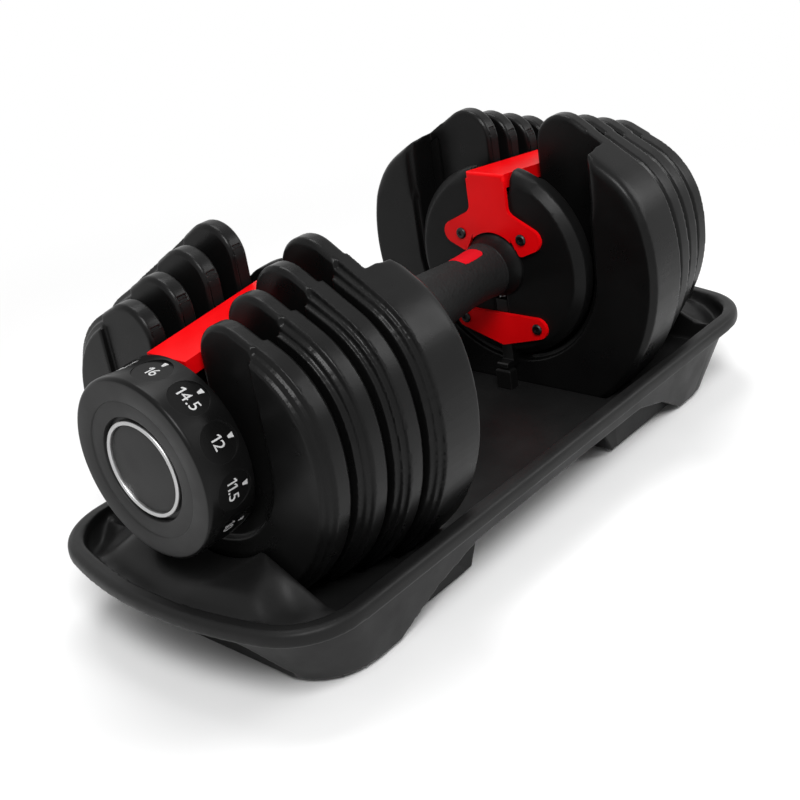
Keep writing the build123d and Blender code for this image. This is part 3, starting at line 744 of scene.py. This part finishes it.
def build_collars():
    # Bell that flares towards the end disc
    start = collar_low.x
    stop = collar_high.x
    bore = axle_radius + SEAT
    large = (collar_high.z - collar_low.z) / 2
    small = large - COLLAR_FLARE
    mouth = start + COLLAR_EDGE
    shoulder = stop - COLLAR_LIP
    profile = [(start, bore), (start, small - COLLAR_EDGE)]
    for step in range(COLLAR_STEPS + 1):
        share = step / COLLAR_STEPS
        profile.append((mouth + (shoulder - mouth) * share, small + COLLAR_FLARE * share ** COLLAR_CURVE))
    profile += [(stop - COLLAR_RIM_EDGE, large), (stop, large - COLLAR_RIM_EDGE), (stop, bore)]
    stand_in_pair("collar", lathe(profile), "black_plastic")


# Dial

def spot_frame(index, along, end=-1):
    # Place on a flat spot of a dial: X to the next number, Y towards the plates, Z outwards
    angle = radians(FIRST_NUMBER_TURN + 360.0 / len(NUMBERS) * index)
    out = Vector((0, end * sin(angle), cos(angle)))
    right = Vector((0, end * cos(angle), -sin(angle)))
    up = Vector((-end, 0, 0))
    place = Vector((end * along, 0, axis_height)) + out * (dial_radius - SPOT_DEPTH)
    return Matrix((
        (right.x, up.x, out.x, place.x),
        (right.y, up.y, out.y, place.y),
        (right.z, up.z, out.z, place.z),
        (0, 0, 0, 1),
    ))


def spot_cutters():
    # Short cones that sink a flat round spot for each number into the right dial's barrel
    build = bmesh.new()
    for index in range(len(NUMBERS)):
        place = spot_frame(index, SPOT_PLACE, 1) @ Matrix.Translation((0, 0, SPOT_CUTTER_HEIGHT / 2))
        bmesh.ops.create_cone(build, cap_ends=True, segments=SPOT_SIDES, radius1=SPOT_RADIUS,
                              radius2=SPOT_RADIUS + SPOT_FLARE, depth=SPOT_CUTTER_HEIGHT, matrix=place)
    return mesh_from(build, "spot_cutters")


def knob_profile():
    start = dial_low.x
    floor = ring_low.x
    step_face = dial_face - KNOB_STEP
    back = floor - KNOB_WALL
    inner = dial_radius - KNOB_WALL
    step_soft_along, step_soft_radius = KNOB_STEP_SOFT
    profile = [(start, inner)]
    back_edge = quarter((start + TRIM_EDGE, dial_radius - TRIM_EDGE), TRIM_EDGE, 90.0, SMALL_QUARTER_STEPS)
    front_edge = quarter((dial_face - KNOB_EDGE, dial_radius - KNOB_EDGE), KNOB_EDGE, 0.0)
    profile += back_edge[::-1] + front_edge[::-1]
    # Shallow step in the face
    profile += [(dial_face, KNOB_STEP_RADIUS),
                (dial_face - step_soft_along, KNOB_STEP_RADIUS - step_soft_radius),
                (step_face, KNOB_STEP_RADIUS - KNOB_STEP)]
    # Recess for the ring and cap
    profile += [(step_face, KNOB_RECESS_RADIUS + TRIM_EDGE),
                (step_face - KNOB_RECESS_SOFT, KNOB_RECESS_RADIUS + KNOB_RECESS_SOFT),
                (step_face - TRIM_EDGE, KNOB_RECESS_RADIUS),
                (floor, KNOB_RECESS_RADIUS)]
    # Pocket for the bolt and the hollow behind
    profile += [(floor, KNOB_POCKET_RADIUS), (back, KNOB_POCKET_RADIUS), (back, inner)]
    return profile


def knob_mesh():
    cutter = bpy.data.objects.new("spot_cutters", spot_cutters())
    bpy.context.scene.collection.objects.link(cutter)
    holder = bpy.data.objects.new("knob", lathe(knob_profile()))
    cut = holder.modifiers.new("spots", "BOOLEAN")
    cut.operation = "DIFFERENCE"
    cut.solver = "EXACT"
    cut.object = cutter
    mesh = final_mesh(holder)
    bpy.data.objects.remove(cutter)
    smooth(mesh, LATHE_SHARP)
    # Face and barrel are the two finishes of the knob
    for face in mesh.polygons:
        radius = hypot(face.center.y, face.center.z - axis_height)
        on_face = face.center.x > dial_face - KNOB_EDGE and radius < dial_radius - KNOB_FACE_MARGIN
        face.material_index = 0 if on_face else 1
    return mesh


def ring_mesh():
    low = ring_low.x
    shoulder = ring_high.x - RING_EDGE
    outer = (ring_high.z - ring_low.z) / 2
    inner = outer - RING_WIDTH
    inner_round = quarter((shoulder, inner + RING_EDGE), RING_EDGE, -90.0, RING_EDGE_STEPS)
    outer_round = quarter((shoulder, outer - RING_EDGE), RING_EDGE, 0.0, RING_EDGE_STEPS)
    return lathe([(low, inner)] + inner_round + outer_round + [(low, outer)])


def cap_mesh():
    low = cap_low.x
    radius = (cap_high.z - cap_low.z) / 2 + CAP_TUCK
    shoulder = cap_high.x - CAP_DOME
    flat_radius = radius - CAP_EDGE
    edge = quarter((shoulder - CAP_EDGE, flat_radius), CAP_EDGE, 0.0, SMALL_QUARTER_STEPS)
    profile = [(low, 0), (low, radius)] + edge[::-1]
    for step in range(1, CAP_DOME_STEPS + 1):
        share = 1 - step / CAP_DOME_STEPS
        profile.append((shoulder + CAP_DOME * (1 - share ** 2), flat_radius * share))
    return lathe(profile, closed=False)


def build_dials():
    stand_in_pair("dial_knob", knob_mesh(), "dial_plastic", "dial_barrel")
    stand_in_pair("dial_ring", ring_mesh(), "silver_ring")
    stand_in_pair("dial_cap", cap_mesh(), "dial_plastic")


# Dial numbers

def letter_mesh(sign):
    curve = bpy.data.curves.new("number", "FONT")
    curve.body = sign
    curve.size = NUMBER_SIZE
    curve.extrude = NUMBER_THICKNESS
    curve.resolution_u = NUMBER_CURVE_STEPS
    mesh = final_mesh(bpy.data.objects.new("number", curve))
    bpy.data.curves.remove(curve)
    return mesh


def painted_patch(build, matrix, corners):
    # Thin slab of paint
    low = [build.verts.new(matrix @ Vector((x, y, -NUMBER_THICKNESS))) for x, y in corners]
    high = [build.verts.new(matrix @ Vector((x, y, NUMBER_THICKNESS))) for x, y in corners]
    build.faces.new(high)
    build.faces.new(low[::-1])
    join_rings(build, high, low)


def number_mesh(words):
    # Letters side by side, centred on nought; a 1 has a flag at its top
    build = bmesh.new()
    reach = 0.0
    for sign in words:
        letter = letter_mesh(sign)
        left = min(vertex.co.x for vertex in letter.vertices)
        right = max(vertex.co.x for vertex in letter.vertices)
        top = max(vertex.co.y for vertex in letter.vertices)
        if sign == "1":
            reach += FLAG_REACH
            flag = [(0.0, top - SEAT), (-FLAG_REACH, top - FLAG_DROP),
                    (-FLAG_REACH, top - FLAG_DROP - FLAG_STROKE), (0.0, top - FLAG_STROKE)]
            painted_patch(build, Matrix.Translation((reach, 0, 0)), flag)
        letter.transform(Matrix.Translation((reach - left, 0, 0)))
        build.from_mesh(letter)
        bpy.data.meshes.remove(letter)
        reach += right - left + LETTER_GAP
    bmesh.ops.translate(build, verts=build.verts, vec=(-(reach - LETTER_GAP) / 2, -top / 2, 0))
    return mesh_from(build, "number")


def dial_marks(side):
    tick = [(-TICK_NARROW / 2, -TICK_LENGTH / 2), (TICK_NARROW / 2, -TICK_LENGTH / 2),
            (TICK_WIDE / 2, TICK_LENGTH / 2), (-TICK_WIDE / 2, TICK_LENGTH / 2)]
    build = bmesh.new()
    for index, words in enumerate(NUMBERS):
        letters = number_mesh(words)
        letters.transform(spot_frame(index, SPOT_PLACE))
        build.from_mesh(letters)
        bpy.data.meshes.remove(letters)
        painted_patch(build, spot_frame(index, TICK_PLACE), tick)
    mesh = mesh_from(build, "dial_marks_" + side)
    if side == "right":
        mesh.transform(half_turn)
    add_piece("dial_marks_" + side, mesh, "dial_" + side, ["number_paint"])


# Grip

def grip_radius():
    # Radius of the grip's surface along its length, read from its CAD mesh
    rings = {}
    for vertex in frame["nodes"]["handle_grip"].data.vertices:
        radius = hypot(vertex.co.y, vertex.co.z - axis_height)
        key = round(vertex.co.x, 6)
        rings[key] = max(radius, rings.get(key, 0))
    places = sorted(place for place in rings if rings[place] > GRIP_LEAST_RADIUS)
    return lambda along: float(np.interp(along, places, [rings[place] for place in places]))


def under_inlay(point):
    half_width = (inlay_high.y - inlay_low.y) / 2 - INLAY_TUCK
    near = abs(point.x) < inlay_high.x - INLAY_TUCK and abs(point.y) < half_width
    return near and point.z > axis_height and abs(point.x) > inlay_inner + INLAY_TUCK


def pebble(point):
    # Height of the leather-like grain, from nought in the creases to one on the pebbles
    near = noise.voronoi(point / GRAIN_SIZE)[0]
    return min(1.0, (near[1] - near[0]) * GRAIN_SLOPE)


def grip_mesh():
    radius_at = grip_radius()
    half = grip_high.x
    rows = round(2 * half / GRIP_STEP)
    steps = round(2 * pi * (grip_high.z - axis_height) / GRIP_STEP)
    build = bmesh.new()
    rings = []
    for row in range(rows + 1):
        along = -half + 2 * half * row / rows
        ring = []
        for step in range(steps):
            angle = 2 * pi * step / steps
            out = Vector((0, sin(angle), cos(angle)))
            point = Vector((along, 0, axis_height)) + out * radius_at(along)
            if under_inlay(point):
                point = Vector((along, 0, axis_height)) + out * INLAY_BED
            else:
                point -= out * GRAIN_DEPTH * (1 - pebble(point))
            ring.append(build.verts.new(point))
        rings.append(ring)
    # Bore for the axle
    rings += [ring_of(build, along, axle_radius + SEAT, steps) for along in (half, -half)]
    for first, second in zip(rings, rings[1:] + rings[:1]):
        join_rings(build, first, second)
    bmesh.ops.recalc_face_normals(build, faces=build.faces)
    mesh = mesh_from(build, "grip")
    smooth(mesh, GRIP_SHARP)
    return mesh


# Scene

def stage_floor():
    mesh = bpy.data.meshes.new("floor")
    corners = [(FLOOR_HALF * x, FLOOR_HALF * y, 0) for x, y in ((-1, -1), (1, -1), (1, 1), (-1, 1))]
    mesh.from_pydata(corners, [], [(0, 1, 2, 3)])
    floor = bpy.data.objects.new("floor", mesh)
    mesh.materials.append(floor_material())
    bpy.context.scene.collection.objects.link(floor)


def soft_light(name, place, size, power):
    lamp = bpy.data.lights.new(name, "AREA")
    lamp.shape = "SQUARE"
    lamp.size = size
    lamp.energy = power
    holder = bpy.data.objects.new(name, lamp)
    holder.location = place
    holder.rotation_euler = (Vector(LAMP_TARGET) - Vector(place)).to_track_quat("-Z", "Y").to_euler()
    bpy.context.scene.collection.objects.link(holder)


def white_world():
    # White where it is seen or mirrored, softer where it lights the object
    world = bpy.data.worlds.new("studio")
    bpy.context.scene.world = world
    world.use_nodes = True
    tree = world.node_tree
    back = tree.nodes["Background"]
    back.inputs["Color"].default_value = grey(1.0)
    tree.links.new(spread(tree, seen_rays(tree), SKY_LIGHT, 1.0, 0.0, 1.0), back.inputs["Strength"])


def main_camera():
    lens = bpy.data.cameras.new("camera")
    lens.lens = CAMERA_LENS
    lens.sensor_width = CAMERA_SENSOR
    camera = bpy.data.objects.new("camera", lens)
    camera.location = CAMERA_PLACE
    camera.rotation_euler = [radians(turn) for turn in CAMERA_TURN]
    bpy.context.scene.collection.objects.link(camera)
    bpy.context.scene.camera = camera


tray_plan = plan_hull(points_of(frame["nodes"]["tray_shell"].data))
inlay_inner = min(abs(vertex.co.x) for vertex in frame["nodes"]["grip_inlays"].data.vertices)
dress_inner_pieces()
build_tray()
build_plates()
build_end_discs()
build_collars()
build_dials()
stand_in("handle_grip", grip_mesh(), "grip_plastic")
for name, (material, width) in ROUNDED.items():
    rounded(name, material, width)
for side in SIDES:
    for stem, (material, width) in ROUNDED_AT_ENDS.items():
        rounded(stem + "_" + side, material, width)
    dial_marks(side)

stage_floor()
white_world()
for name, (place, size, power) in LAMPS.items():
    soft_light(name, place, size, power)
main_camera()
bpy.context.scene.view_settings.view_transform = "Standard"
